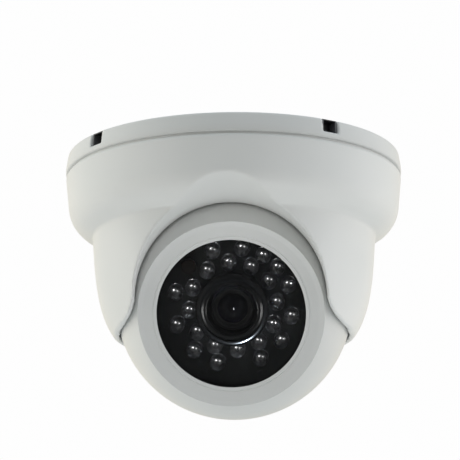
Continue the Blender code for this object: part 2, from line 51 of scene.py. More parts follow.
# Joint axes, from the frame
JOINTS = {joint["name"]: joint for joint in frame["joints"]}
BALL_Z = JOINTS["tilt"]["pos_m"][2] / MM
LENS_AXIS = Vector(JOINTS["roll"]["axis"]).normalized()
LENS_TURN = math.acos(LENS_AXIS.z)  # from straight up to the lens axis, about X
EYE = Matrix.Translation((0.0, 0.0, BALL_Z * MM)) @ Matrix.Rotation(LENS_TURN, 4, "X")
WORLD = Matrix.Identity(4)

# Base
BASE_R = 56.5
BASE_TOP_R = 55.8
BASE_H = 6.4
RIM_INNER_R = 52.6
WEB_TOP = -4.8
HUB_R = 13.4
NOTCH_HALF = 3.0
NOTCH_DEPTH = 4.4
NOTCH_FLOOR_R = 50.5
NOTCH_AZIMUTHS = [36.6, 129.6, 216.6, 309.6]
LOCK_SCREW_AZIMUTH = 173.5
LOCK_SCREW_Z = -2.4
PLATE_R = 49.6
PLATE_T = 1.5
PLATE_HOLE_R = 16.0
TAB_HALF = 2.3
TAB_REACH = 51.0
SHADE_CLIP_BACK_R = 51.3  # dark clip in each notch of the base, painted shade in the notch
SHADE_CLIP_REACH = 55.3
SHADE_CLIP_SHEET = 0.5
SHEET_EDGE = 0.08
SLOT_R = 34.0
SLOT_HALF_WIDTH = 2.4
SLOT_HALF_LENGTH = 6.5

# Cover
SEAM_Z = -7.1
SPIGOT_R = 55.5  # ring seen in the seam between base and cover
COVER_R = 56.4
HAT_SHOULDER = (55.45, -17.8)
HAT_FOOT = (47.4, -27.6)
RIM_R = 39.6
RIM_Z = -61.6
SOCKET_R = 40.1
SLOT_HALF = 31.3  # half width of the front opening
ARCH_Z = -54.6  # centre height of the opening's round top
OPENING_FILLET = 8.5
COLLAR_T = 2.2
SCOOP_R = 22.0  # radius of the cone cut in the hat above the opening
SCOOP_Z = -41.4  # height of the cone's axis
SCOOP_REACH = 55.3  # distance forward at which the cone has that radius
SCOOP_FLARE = 32.0  # angle between the cone's side and its axis
SCOOP_WALL = 1.6  # metal left between the scoop and the hat's hollow
SCOOP_BLEND = 5.0  # width over which the scoop meets the opening
CHEEK_AZIMUTHS = [57.0, -57.0]  # flats on the drum, to each side of the ball
CHEEK_SLOPE = 11.0  # how far below level the flats face
CHEEK_REACH = 43.9  # distance of the flats from the ball's centre
ARCH_EDGE = 0.15  # width over which the scoop meets the hat
CHEEK_EDGE = 3.0
OPENING_EDGE = 0.6
LIP_EDGE = 0.15
WALL_EDGE = 0.5  # rounding of inner walls and screw seats
FILLET = 1.0  # where bosses and the collar meet the wall
SCREW_AZIMUTHS = [180, 110, -110]
SCREW_R = 49.3  # pitch radius of the cover screws
SCREW_HEAD_Z = (-21.6, -23.8)
BOSS_R = 4.4
SCREW_SEAT_R = 3.4
SCREW_HOLE_R = 2.1
OPENING_DEPTH = 8  # the opening is cut back to this far in front of the axis
COLLAR_DEPTH = 15  # and the collar round it to this far
COVER_CELL = 0.72  # mesh pitch of the castings
BASE_CELL = 0.55

# Ball, window and camera module
BALL_R = 39.5
BALL_INNER_R = 36.7
SPLIT_A = -4.0
BEZEL_R = 30.45
BEZEL_INNER_R = 24.3
BEZEL_FRONT = 25.5
BEZEL_DISH = 0.88  # how far the bezel's face sinks toward the window
BEZEL_FIT = 0.02  # gap between the bezel and the ball
BALL_WALL_EDGE = 0.2
CABLE_HOLE_R = 5.3
SHELL_SCREW_R = 33.6  # distance of the shell screws from the lens axis
SHELL_SCREW_ANGLES = [60, 180, 300]
POCKET_R = 2.3  # pockets for the heads of the shell screws
POCKET_FLOOR = -12.4
WINDOW_FRONT = 24.2
WINDOW_T = 1.7
SEAT_A = 20.9
GAP = 0.3
FRAME_R = 29.8
FRAME_FLANGE_R = 32.6
BOARD_FRONT = 5.6
BOARD_T = 1.6
LED_BOARD_R = 27.4
LED_RING_R = [14.6, 19.6]
LED_INNER_ANGLES = [4.5 + 30 * k for k in range(12)]
LED_OUTER_ANGLES = [-162.5, -132.5, -106.5, -63.5, -36.5, -10.5, 20.5, 40.5, 58.5, 80, 109, 165.5]
LED_R = 2.5
LED_FLANGE_R = 2.6
LED_H = 8.6
RESISTOR_RING_R = 24.6
RESISTOR_ANGLES = [20 + 45 * k for k in range(8)]
SENSOR_ANGLE = 138.0
HOOD_R = 11.7
HOOD_LIP_R = 12.1
HOOD_FRONT = 18.5

# Camera: the ball is seen from slightly below
VIEW_AZIMUTH = 2.6
VIEW_ELEVATION = -13.3
VIEW_DISTANCE = 0.9
VIEW_TARGET = Vector((0.0, 0.0, -0.043))
VIEW_RAISE = 0.01783  # aim above the target, so the ball sits low in view
VIEW_SIDE = -0.0013
VIEW_ROLL = -0.3
LENS_MM = 210.5
FLOOR_Z = -0.46
FLOOR_SIZE = 1800
FLOOR_T = 10
FLOOR_FRONT = 400  # how far the floor comes forward of the part
GLOW_FALLOFF = 2.0  # power of the cosine from a glow's direction
WORLD_GLOWS = [  # direction it comes from, colour, strength
    ((-1.0, 0.0, 0.0), (1.0, 0.99, 0.93), 1.66),
    ((1.0, 0.0, 0.0), (1.0, 1.0, 0.99), 1.5),
    ((0.0, 0.0, 1.0), (0.76, 0.9, 1.0), 0.84),
    ((0.0, 1.0, 0.0), (1.0, 0.85, 0.6), 0.8),
]
# Lights on chosen pieces: name, what it lights, azimuth, elevation, distance, size, power, shaded by all
PIECE_LIGHTS = [
    ("fill", "ball", 0, -4, 0.7, (0.3, 0.1), 0.14, True),
    ("bezel_top", "bezel", 0, 14, 0.13, (0.05, 0.02), 0.024, False),
    ("bezel_low", "bezel", 0, -68, 0.45, (0.3, 0.3), 0.16, True),
    ("brim_left", "cover", -42, -62, 0.5, (0.4, 0.3), 0.3, True),
    ("brim_right", "cover", 42, -62, 0.5, (0.4, 0.3), 1.35, True),
]
GLINT_DISTANCE = 0.9
# Highlights alone: name, what it lights and is shaded by, azimuth, elevation, size, power, colour
GLINTS = [
    ("glint_high", "lamps", -18, 42, (0.05, 0.05), 22.0, (1.0, 1.0, 1.0)),
    ("glint_side", "lamps", 44, 30, (0.04, 0.04), 9.0, (1.0, 1.0, 1.0)),
    ("glint_low", "hood", 30, -68, (0.06, 0.14), 130.0, (0.75, 0.87, 1.0)),
    ("glint_port", "crest", -80, -22, (0.2, 0.5), 20.0, (1.0, 1.0, 1.0)),
    ("glint_starboard", "crest", 80, -22, (0.2, 0.5), 20.0, (1.0, 1.0, 1.0)),
    ("glint_lens", "lens", 2, -33, (0.03, 0.12), 2.0, (0.9, 0.95, 1.0)),
]


# ---- shapes

def polar(radius, azimuth, height=0.0):
    turn = math.radians(azimuth)
    return Vector((radius * math.sin(turn), -radius * math.cos(turn), height))


def arc(radius, start, end, steps, centre=(0.0, 0.0)):
    points = []
    for i in range(steps + 1):
        angle = math.radians(start + (end - start) * i / steps)
        points.append((centre[0] + radius * math.cos(angle), centre[1] + radius * math.sin(angle)))
    return points


def bezier(p0, p1, p2, p3, steps):
    points = []
    for i in range(steps + 1):
        t = i / steps
        weights = ((1 - t) ** 3, 3 * t * (1 - t) ** 2, 3 * t * t * (1 - t), t ** 3)
        points.append(tuple(sum(w * p[k] for w, p in zip(weights, (p0, p1, p2, p3))) for k in (0, 1)))
    return points


def soften(outline, radius, steps=4, closed=True):
    """The outline with each corner rounded, by at most the radius."""
    made = []
    count = len(outline)
    for i in range(count):
        here = Vector(outline[i])
        if not closed and i in (0, count - 1):
            made.append(tuple(here))
            continue
        before = Vector(outline[i - 1]) - here
        after = Vector(outline[(i + 1) % count]) - here
        cut = min(radius, 0.45 * before.length, 0.45 * after.length)
        start = here + before.normalized() * cut
        end = here + after.normalized() * cut
        for k in range(steps + 1):
            t = k / steps
            made.append(tuple(start * (1 - t) ** 2 + here * 2 * t * (1 - t) + end * t * t))
    return made


def add_object(name, data):
    obj = bpy.data.objects.new(name, data)
    bpy.context.scene.collection.objects.link(obj)
    return obj


def mesh_object(name, verts, faces, look, place=WORLD, sharp=35):
    mesh = bpy.data.meshes.new(name)
    mesh.from_pydata([tuple(v) for v in verts], [], [tuple(f) for f in faces])
    mesh.materials.append(look)
    mesh.shade_smooth()
    if sharp:
        mesh.set_sharp_from_angle(angle=math.radians(sharp))
    mesh.transform(place)
    return add_object(name, mesh)


def lathe_mesh(outline, sides, closed):
    """Points and faces of a turned shape; the outline runs down its outer side."""
    verts = []
    faces = []
    rings = []
    for radius, height in outline:
        if radius < 1e-6:
            rings.append([len(verts)])
            verts.append((0.0, 0.0, height * MM))
            continue
        rings.append(list(range(len(verts), len(verts) + sides)))
        for i in range(sides):
            turn = 2 * math.pi * i / sides
            verts.append((radius * math.cos(turn) * MM, radius * math.sin(turn) * MM, height * MM))
    pairs = list(zip(rings, rings[1:]))
    if closed:
        pairs.append((rings[-1], rings[0]))
    for upper, lower in pairs:
        for i in range(sides):
            j = (i + 1) % sides
            loop = [upper[i % len(upper)], lower[i % len(lower)]]
            loop += [lower[j % len(lower)], upper[j % len(upper)]]
            loop = list(dict.fromkeys(loop))
            if len(loop) > 2:
                faces.append(loop)
    return verts, faces


def lathe(name, outline, look, place=WORLD, sides=160, closed=True, sharp=35):
    verts, faces = lathe_mesh(outline, sides, closed)
    return mesh_object(name, verts, faces, look, place, sharp)


def place_piece(piece, body, slot, *nodes):
    """Lets a piece ride on a body, in place of the frame's nodes."""
    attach(piece, body)
    if nodes:
        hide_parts(*nodes)


def meshed(looks, name, shape, place, body, slot, *nodes):
    """A piece of points and faces with its slot's look, placed on a body."""
    place_piece(mesh_object(name, *shape, looks[slot], place), body, slot, *nodes)


def turned(looks, name, outline, body, slot, *nodes, place=EYE, **shape):
    """A turned piece with its slot's look, placed on a body."""
    piece = lathe(name, outline, looks[slot], place, **shape)
    place_piece(piece, body, slot, *nodes)
    return piece


def block_mesh(size, centre, chamfer=0.0):
    """Points and faces of a box with chamfered upright edges."""
    half = [s / 2 for s in size]
    cut = chamfer
    ring = [(half[0] - cut, -half[1]), (half[0], -half[1] + cut), (half[0], half[1] - cut),
            (half[0] - cut, half[1]), (-half[0] + cut, half[1]), (-half[0], half[1] - cut),
            (-half[0], -half[1] + cut), (-half[0] + cut, -half[1])]
    inset = [(x * (1 - cut / half[0]), y * (1 - cut / half[1])) for x, y in ring]
    layers = [(inset, -half[2]), (ring, -half[2] + cut), (ring, half[2] - cut), (inset, half[2])]
    verts = []
    for points, z in layers:
        for x, y in points:
            verts.append(((x + centre[0]) * MM, (y + centre[1]) * MM, (z + centre[2]) * MM))
    count = len(ring)
    faces = [list(range(count))[::-1], [3 * count + i for i in range(count)]]
    for start in (0, count, 2 * count):
        for i in range(count):
            j = (i + 1) % count
            faces.append([start + i, start + j, start + count + j, start + count + i])
    return verts, faces


def gather(parts):
    """Joins several (points, faces) shapes into one."""
    verts = []
    faces = []
    for points, loops in parts:
        faces += [[index + len(verts) for index in loop] for loop in loops]
        verts += points
    return verts, faces


# ---- cast shapes from distance fields

def smooth_max(a, b, width):
    """Intersection of two distance fields, with its edge rounded over the width."""
    near = np.maximum(width - np.abs(a - b), 0.0) / width
    return np.maximum(a, b) + near * near * width * 0.25


def profile_field(outline, pitch=0.2, margin=8.0):
    """Signed distance from a closed (radius, height) outline, as a function of radius and height."""
    points = np.array(outline, float)
    low = points.min(0) - margin
    counts = np.ceil((points.max(0) + margin - low) / pitch).astype(int) + 1
    radius, height = np.meshgrid(*[low[k] + pitch * np.arange(counts[k]) for k in (0, 1)], indexing="ij")
    distance = np.full(radius.shape, 1e9)
    inside = np.zeros(radius.shape, bool)
    for a, b in zip(points, np.roll(points, -1, 0)):
        edge = b - a
        along = ((radius - a[0]) * edge[0] + (height - a[1]) * edge[1]) / max(edge @ edge, 1e-12)
        along = np.clip(along, 0.0, 1.0)
        reach = np.hypot(radius - a[0] - along * edge[0], height - a[1] - along * edge[1])
        distance = np.minimum(distance, reach)
        if a[1] != b[1]:
            crossing = a[0] + (height - a[1]) / (b[1] - a[1]) * edge[0]
            inside ^= ((a[1] <= height) != (b[1] <= height)) & (radius < crossing)
    table = np.where(inside, -distance, distance)

    def field(r, z):
        u = np.clip((r - low[0]) / pitch, 0, counts[0] - 1.001)
        v = np.clip((z - low[1]) / pitch, 0, counts[1] - 1.001)
        i = u.astype(int)
        j = v.astype(int)
        u = u - i
        v = v - j
        lower = table[i, j] * (1 - u) + table[i + 1, j] * u
        upper = table[i, j + 1] * (1 - u) + table[i + 1, j + 1] * u
        return lower * (1 - v) + upper * v
    return field


def plane_field(azimuth, slope, distance):
    """Distance beyond a plane that faces an azimuth, slopes below level and misses the ball's centre."""
    normal = polar(math.cos(math.radians(slope)), azimuth, -math.sin(math.radians(slope)))
    return lambda x, y, z: normal.x * x + normal.y * y + normal.z * (z - BALL_Z) - distance


def post_field(x, y, azimuth, pitch_radius, radius):
    spot = polar(pitch_radius, azimuth)
    return np.hypot(x - spot.x, y - spot.y) - radius


def radial_coordinates(x, y, azimuth):
    """Sideways and outward distances from the centre line that points at an azimuth."""
    turn = math.radians(azimuth)
    return x * math.cos(turn) + y * math.sin(turn), x * math.sin(turn) - y * math.cos(turn)


def field_mesh(field, low, high, cell):
    """Closed mesh where the field is zero: a point in each crossed cell, a quad at each crossed edge."""
    low = np.array(low, float)
    counts = np.ceil((np.array(high) - low) / cell).astype(int) + 1
    axes = [low[k] + cell * np.arange(counts[k]) for k in range(3)]
    side, height = np.meshgrid(axes[1], axes[2], indexing="ij")
    grid = np.stack([field(np.full_like(side, x), side, height) for x in axes[0]])
    inside = grid < 0
    total = np.zeros(tuple(counts - 1), int)
    for corner in np.ndindex(2, 2, 2):
        total += inside[tuple(slice(c, n - 1 + c) for c, n in zip(corner, counts))]
    active = (total > 0) & (total < 8)
    index = np.full(active.shape, -1)
    index[active] = np.arange(active.sum())
    base = np.argwhere(active)
    points = settle(field, low + cell * crossing_centres(grid, base), cell)
    quads = []
    for axis in range(3):
        first, second = (axis + 1) % 3, (axis + 2) % 3
        near = np.take(inside, range(counts[axis] - 1), axis)
        far = np.take(inside, range(1, counts[axis]), axis)
        spots = np.argwhere(near != far)
        spots = spots[(spots[:, first] > 0) & (spots[:, second] > 0)]
        spots = spots[(spots[:, first] < counts[first] - 1) & (spots[:, second] < counts[second] - 1)]
        corners = []
        for back_first, back_second in ((1, 1), (0, 1), (0, 0), (1, 0)):
            cells = spots.copy()
            cells[:, first] -= back_first
            cells[:, second] -= back_second
            corners.append(index[tuple(cells.T)])
        loops = np.stack(corners, 1)
        solid_near = near[tuple(spots.T)]
        loops[~solid_near] = loops[~solid_near][:, ::-1]
        quads.append(loops)
    return points * MM, np.concatenate(quads)


def crossing_centres(grid, base):
    """Mean of the points where the surface crosses each cell's twelve edges, in grid steps."""
    total = np.zeros(base.shape)
    hits = np.zeros(len(base))
    for axis in range(3):
        step = np.eye(3, dtype=int)[axis]
        for offset in np.ndindex(2, 2):
            start = base.copy()
            start[:, (axis + 1) % 3] += offset[0]
            start[:, (axis + 2) % 3] += offset[1]
            a = grid[tuple(start.T)]
            b = grid[tuple((start + step).T)]
            cross = (a < 0) != (b < 0)
            share = a[cross] / (a[cross] - b[cross])
            total[cross] += start[cross] + share[:, None] * step
            hits += cross
    return total / hits[:, None]


def settle(field, points, cell, rounds=3, probe=0.15):
    """Moves points along the field's slope until they lie on its zero surface."""
    for _ in range(rounds):
        value = field(*points.T)
        slope = np.zeros(points.shape)
        for k in range(3):
            step = np.zeros(3)
            step[k] = probe
            slope[:, k] = (field(*(points + step).T) - field(*(points - step).T)) / (2 * probe)
        size = np.maximum((slope ** 2).sum(1), 0.2)
        move = np.clip(value / size, -cell / 2, cell / 2)
        points = points - slope * move[:, None]
    return points


def cast(name, field, low, high, cell, look):
    points, quads = field_mesh(field, low, high, cell)
    return mesh_object(name, points.tolist(), quads.tolist(), look, sharp=0)


# ---- materials

NOISE_LOW = 0.3  # noise seldom leaves this range
NOISE_HIGH = 0.7


def set_inputs(node, values):
    for key, value in values.items():
        node.inputs[key].default_value = value


def new_material(name, values):
    look = bpy.data.materials.new(name)
    look.use_nodes = True
    shader = look.node_tree.nodes["Principled BSDF"]
    set_inputs(shader, values)
    return look, shader


def add_node(look, kind, **values):
    node = look.node_tree.nodes.new(kind)
    set_inputs(node, values)
    return node


def link(look, source, node, key):
    look.node_tree.links.new(source, node.inputs[key])


def noise(look, scale, detail=2.0):
    """Noise in the piece's own coordinates; scale is in features per metre."""
    where = look.node_tree.nodes.new("ShaderNodeTexCoord")
    node = add_node(look, "ShaderNodeTexNoise", Scale=scale, Detail=detail, Roughness=0.5)
    link(look, where.outputs["Object"], node, "Vector")
    return node.outputs["Fac"]


def tint(look, shader, source, low, high, start=NOISE_LOW, end=NOISE_HIGH):
    """Base colour that runs from low to high as the source runs from start to end."""
    node = look.node_tree.nodes.new("ShaderNodeValToRGB")
    for stop, place, colour in zip(node.color_ramp.elements, (start, end), (low, high)):
        stop.position = place
        stop.color = (*colour, 1.0)
    link(look, source, node, "Fac")
    link(look, node.outputs["Color"], shader, "Base Color")


def vary_roughness(look, shader, source, low, high):
    limits = {"From Min": NOISE_LOW, "From Max": NOISE_HIGH, "To Min": low, "To Max": high}
    node = add_node(look, "ShaderNodeMapRange", **limits)
    link(look, source, node, "Value")
    link(look, node.outputs["Result"], shader, "Roughness")


def bump(look, shader, source, depth_mm, before=None):
    node = add_node(look, "ShaderNodeBump", Strength=1.0, Distance=depth_mm * MM)
    link(look, source, node, "Height")
    if before:
        link(look, before.outputs["Normal"], node, "Normal")
    link(look, node.outputs["Normal"], shader, "Normal")
    return node


def surface(name, dark, light, roughness, metallic, grain, depth, patch=60.0, specular=0.5):
    """Painted, moulded or plated surface: faint patches of tone, uneven gloss and a fine grain."""
    look, shader = new_material(name, {"Metallic": metallic, "Specular IOR Level": specular})
    tint(look, shader, noise(look, patch, detail=3.0), dark, light)
    fine = noise(look, grain)
    vary_roughness(look, shader, fine, *roughness)
    bump(look, shader, fine, depth)
    return look


def powder_coat(name, dark, light, roughness):
    """Powder coat: an orange peel of low waves under a very fine texture."""
    look, shader = new_material(name, {})
    tint(look, shader, noise(look, 35.0), dark, light)
    peel = noise(look, 520.0, detail=1.0)
    fine = noise(look, 2600.0)
    vary_roughness(look, shader, fine, *roughness)
    waves = bump(look, shader, peel, 0.012)
    bump(look, shader, fine, 0.003, before=waves)
    return look


def clear_epoxy(name):
    look, shader = new_material(name, {
        "Base Color": (0.62, 0.65, 0.7, 1.0), "Transmission Weight": 1.0, "IOR": 1.52,
        "Coat Weight": 1.0, "Coat Roughness": 0.3})
    ripples = noise(look, 700.0, detail=1.0)
    vary_roughness(look, shader, ripples, 0.02, 0.06)
    bump(look, shader, ripples, 0.006)
    return look


def window_pane(name):
    look, shader = new_material(name, {
        "Base Color": (0.03, 0.031, 0.032, 1.0), "Alpha": 0.16, "Specular IOR Level": 0.25})
    vary_roughness(look, shader, noise(look, 40.0, detail=3.0), 0.02, 0.05)
    return look


def coated_glass(name):
    """Lens glass seen against a dark barrel, with a faint violet sheen toward its edge: the coating's
    reflection, painted into its colour as the glass turns from view.
    """
    look, shader = new_material(name, {"Specular IOR Level": 0.12})
    facing = add_node(look, "ShaderNodeLayerWeight", Blend=0.35).outputs["Facing"]
    # Painted reflection: the coating's violet sheen, stronger where the glass turns from view.
    tint(look, shader, facing, (0.004, 0.004, 0.008), (0.03, 0.015, 0.06), 0.1, 0.8)
    vary_roughness(look, shader, noise(look, 900.0, detail=3.0), 0.03, 0.07)
    return look


def photo_cell(name):
    """Light sensor cell: a dark red face crossed by dark green bands."""
    look, shader = new_material(name, {"Specular IOR Level": 0.3})
    where = look.node_tree.nodes.new("ShaderNodeTexCoord")
    wave = add_node(look, "ShaderNodeTexWave", Scale=420.0, Distortion=0.0)
    link(look, where.outputs["Object"], wave, "Vector")
    tint(look, shader, wave.outputs["Fac"], (0.03, 0.006, 0.004), (0.012, 0.018, 0.014), 0.45, 0.55)
    fine = noise(look, 1500.0)
    vary_roughness(look, shader, fine, 0.3, 0.5)
    bump(look, shader, fine, 0.005)
    return look


POWDER_COATS = {  # dark and light tone, roughness from and to
    "white_powder_coat": ((0.72, 0.73, 0.72), (0.75, 0.755, 0.745), (0.36, 0.5)),
    "grey_paint": ((0.61, 0.62, 0.615), (0.64, 0.65, 0.645), (0.3, 0.42)),
}
# Dark and light tone, roughness from and to, metallic, grain per metre and its depth in millimetres;
# then, where they differ from the usual, patches per metre and specular level.
SURFACES = {
    "zinc_steel": ((0.42, 0.43, 0.45), (0.6, 0.61, 0.63), (0.25, 0.45), 1.0, 500, 0.004, 250),
    "cast_zinc": ((0.34, 0.35, 0.36), (0.46, 0.47, 0.48), (0.4, 0.6), 1.0, 900, 0.02, 90),
    "spring_steel": ((0.2, 0.2, 0.21), (0.3, 0.3, 0.31), (0.25, 0.4), 1.0, 700, 0.004, 200),
    "stainless": ((0.55, 0.55, 0.56), (0.66, 0.66, 0.67), (0.18, 0.32), 1.0, 1200, 0.003, 400),
    "black_rubber": ((0.012, 0.012, 0.012), (0.022, 0.022, 0.023), (0.65, 0.85), 0, 1200, 0.015),
    "nylon": ((0.6, 0.59, 0.53), (0.7, 0.69, 0.64), (0.4, 0.6), 0, 700, 0.008),
    "black_plastic": ((0.006, 0.006, 0.007), (0.012, 0.012, 0.013), (0.28, 0.42), 0, 1800, 0.006),
    "black_board": ((0.014, 0.015, 0.015), (0.02, 0.021, 0.021), (0.3, 0.45), 0, 900, 0.006, 300),
    "green_board": ((0.006, 0.04, 0.016), (0.012, 0.07, 0.028), (0.3, 0.5), 0, 900, 0.01, 500),
    "chip": ((0.012, 0.012, 0.014), (0.02, 0.02, 0.022), (0.35, 0.5), 0, 1500, 0.01),
    "lens_black": ((0.02, 0.02, 0.021), (0.028, 0.028, 0.03), (0.3, 0.4), 0, 1600, 0.002, 60, 0.15),
    "hood_black": ((0.014, 0.014, 0.016), (0.018, 0.018, 0.02), (0.18, 0.22), 0, 400, 0.002, 60, 0.2),
    "satin_black": ((0.012, 0.012, 0.013), (0.016, 0.016, 0.018), (0.2, 0.24), 0, 400, 0.002, 60, 0.25),
    # Dark grey of the notch clips' side leaves: painted shade on the notch's flanks.
    "painted_shade_grey": ((0.11, 0.11, 0.118), (0.14, 0.14, 0.15), (0.4, 0.5), 0, 700, 0.004),
}


def make_materials():
    looks = {name: powder_coat(name, *tones) for name, tones in POWDER_COATS.items()}
    looks.update({name: surface(name, *values) for name, values in SURFACES.items()})
    makers = {"smoked_glass": window_pane, "led_clear": clear_epoxy, "sensor_cell": photo_cell,
              "coated_glass": coated_glass}
    looks.update({name: make(name) for name, make in makers.items()})
    return looks


# ---- base

def base_outline():
    corners = [(BASE_TOP_R, 0), (BASE_R, -NOTCH_DEPTH), (BASE_R, -BASE_H), (HUB_R, -BASE_H),
               (HUB_R, WEB_TOP), (RIM_INNER_R, WEB_TOP), (RIM_INNER_R, 0)]
    return soften(corners, 0.6, 6)


def make_base_ring(looks):
    ring = profile_field(base_outline())
    lug = polar(40.0, 180, -6.8)

    def field(x, y, z):
        solid = ring(np.hypot(x, y), z)
        sideways = np.maximum(np.abs(x - lug.x) - 1.5, np.abs(y - lug.y) - 1.6)
        solid = np.minimum(solid, np.maximum(sideways, np.abs(z - lug.z) - 1.8))
        for azimuth in NOTCH_AZIMUTHS:
            across, outward = radial_coordinates(x, y, azimuth)
            notch = smooth_max(np.abs(across) - NOTCH_HALF, NOTCH_FLOOR_R - outward, 0.4)
            notch = smooth_max(notch, -NOTCH_DEPTH - z, 0.4)
            solid = smooth_max(solid, -notch, 0.5)
        across, outward = radial_coordinates(x, y, LOCK_SCREW_AZIMUTH)
        hole = np.maximum(np.hypot(across, z - LOCK_SCREW_Z) - 1.7, NOTCH_FLOOR_R - outward)
        return smooth_max(solid, -hole, 0.4)

    reach = BASE_R + 1
    ring_object = cast("base_ring", field, (-reach, -reach, -9.5), (reach, reach, 1), BASE_CELL,
                       looks["white_powder_coat"])
    place_piece(ring_object, "base", "white_powder_coat", "mount_base")


def slot_loop(azimuth):
    """Outline of a ceiling screw slot, drawn across the radius."""
    straight = SLOT_HALF_LENGTH - SLOT_HALF_WIDTH
    ends = arc(SLOT_HALF_WIDTH, -90, 90, 16, (straight, 0))
    ends += arc(SLOT_HALF_WIDTH, 90, 270, 16, (-straight, 0))
    turn = math.radians(azimuth)
    centre = polar(SLOT_R, azimuth)
    loop = []
    for x, y in ends:
        loop.append((centre.x + x * math.cos(turn) - y * math.sin(turn),
                     centre.y + x * math.sin(turn) + y * math.cos(turn)))
    return loop


def plate_loop():
    """Outer outline of the ceiling plate, with an arm at each notch of the base."""
    half = math.degrees(math.asin(TAB_HALF / PLATE_R))
    loop = []
    for azimuth in NOTCH_AZIMUTHS:
        across = polar(TAB_HALF, azimuth + 90)
        for side in (-1, 1):
            tip = polar(TAB_REACH, azimuth) + across * side
            root = polar(PLATE_R, azimuth + side * half)
            loop += [root, tip] if side < 0 else [tip, root]
        for i in range(1, 30):
            loop.append(polar(PLATE_R, azimuth + half + (90 - 2 * half) * i / 30))
    return [(p.x, p.y) for p in loop]


def flat_plate(name, loops, thickness, top, edge, look):
    """A flat sheet cut to closed outlines, holes included, with rounded edges."""
    curve = bpy.data.curves.new(name, "CURVE")
    curve.dimensions = "2D"
    curve.fill_mode = "BOTH"
    curve.extrude = (thickness / 2 - edge) * MM
    curve.bevel_depth = edge * MM
    curve.bevel_resolution = 2
    curve.offset = -edge * MM
    for loop in loops:
        spline = curve.splines.new("POLY")
        spline.points.add(len(loop) - 1)
        for point, (x, y) in zip(spline.points, loop):
            point.co = (x * MM, y * MM, 0, 1)
        spline.use_cyclic_u = True
    guide = add_object(name, curve)
    mesh = bpy.data.meshes.new_from_object(guide.evaluated_get(bpy.context.evaluated_depsgraph_get()))
    bpy.data.objects.remove(guide)
    mesh.materials.clear()
    mesh.materials.append(look)
    mesh.name = name
    mesh.shade_smooth()
    mesh.set_sharp_from_angle(angle=math.radians(30))
    obj = add_object(name, mesh)
    obj.location = (0, 0, (top - thickness / 2) * MM)
    return obj


def notch_loop(azimuth, corners):
    """Corners given across and outward of a notch, as an outline seen from above."""
    loop = [polar(outward, azimuth) + polar(across, azimuth + 90) for across, outward in corners]
    return [(point.x, point.y) for point in loop]


def make_notch_shade_clips(looks):
    """A dark clip in each notch of the base, painted shade: two dull grey side leaves paint the shade on
    the notch's flanks, and a black back and roof paint the deep shade inside it.
    """
    wide = NOTCH_HALF - 0.15
    slim = wide - SHADE_CLIP_SHEET
    back = SHADE_CLIP_BACK_R + 0.9
    leaves = [(-wide, SHADE_CLIP_BACK_R), (wide, SHADE_CLIP_BACK_R), (wide, SHADE_CLIP_REACH), (slim, SHADE_CLIP_REACH),
              (slim, SHADE_CLIP_BACK_R + 0.4), (-slim, SHADE_CLIP_BACK_R + 0.4), (-slim, SHADE_CLIP_REACH),
              (-wide, SHADE_CLIP_REACH)]
    roof = [(-slim, back), (slim, back), (slim, SHADE_CLIP_REACH), (-slim, SHADE_CLIP_REACH)]
    # Dull grey side leaves: painted shade on the notch's flanks.
    steel = looks["painted_shade_grey"]
    # Black back and roof: painted deep shade inside the notch.
    black = looks["black_plastic"]
    for i, azimuth in enumerate(NOTCH_AZIMUTHS):
        loops = [notch_loop(azimuth, leaves)]
        channel = flat_plate(f"notch_clip_{i + 1}", loops, NOTCH_DEPTH - 0.1, 0.0, SHEET_EDGE, steel)
        place_piece(channel, "base", "spring_steel")
        loops = [notch_loop(azimuth, roof)]
        lid = flat_plate(f"notch_clip_roof_{i + 1}", loops, 0.4, 0.0, SHEET_EDGE, black)
        place_piece(lid, "base", "spring_steel")
        verts, faces = block_mesh((2 * slim, SHADE_CLIP_SHEET, NOTCH_DEPTH - 0.2), (0, 0, 0), 0.1)
        place = Matrix.Translation(polar(SHADE_CLIP_BACK_R + 0.65, azimuth, -NOTCH_DEPTH / 2) * MM)
        place = place @ Matrix.Rotation(math.radians(azimuth), 4, "Z")
        panel = mesh_object(f"notch_clip_back_{i + 1}", verts, faces, black, place)
        place_piece(panel, "base", "spring_steel")


def make_ceiling_plate(looks):
    hole = arc(PLATE_HOLE_R, 0, 360 - 360 / 96, 95)
    loops = [plate_loop(), hole, slot_loop(90), slot_loop(-90)]
    plate = flat_plate("ceiling_plate_sheet", loops, PLATE_T, 0.0, 0.15, looks["zinc_steel"])
    place_piece(plate, "base", "zinc_steel", "ceiling_plate")
    make_notch_shade_clips(looks)


def make_base_details(looks):
    top = -BASE_H - 0.02
    low = SEAM_Z + 0.02
    spigot = [(SPIGOT_R, top), (SPIGOT_R, low), (SPIGOT_R - 3, low), (SPIGOT_R - 3, top)]
    turned(looks, "seam_spigot", spigot, "base", "white_powder_coat", place=WORLD, sides=192)
    wall = PLATE_HOLE_R
    under = -PLATE_T - GAP
    grommet = [(wall + 2, under), (wall + 2, -2.6), (3.3, -2.6), (3.3, 0), (5.2, 0), (5.2, -1.2),
               (6.6, -1.2), (6.6, 0), (9.8, 0), (9.8, -1.2), (11.2, -1.2), (11.2, 0), (wall - GAP, 0),
               (wall - GAP, under)]
    turned(looks, "cable_grommet_rubber", soften(grommet, 0.35), "base", "black_rubber",
           "cable_grommet", place=WORLD, sides=96)
    seal = [(52.6, -BASE_H - GAP), (52.6, -7.7), (50.2, -7.7), (50.2, -BASE_H - GAP)]
    turned(looks, "rim_seal_rubber", soften(seal, 0.3), "base", "black_rubber", "rim_seal", place=WORLD)
    place = Matrix.Translation(polar(53.6, LOCK_SCREW_AZIMUTH, LOCK_SCREW_Z) * MM)
    place = place @ Matrix.Rotation(math.radians(LOCK_SCREW_AZIMUTH), 4, "Z")
    place = place @ Matrix.Rotation(math.pi / 2, 4, "X")
    screw = socket_screw_mesh([(1.4, 1.9), (1.4, -2.1)], 0.75, 1.2, 0.2)
    meshed(looks, "base_lock_screw_detail", screw, place, "base", "zinc_steel", "base_lock_screw")


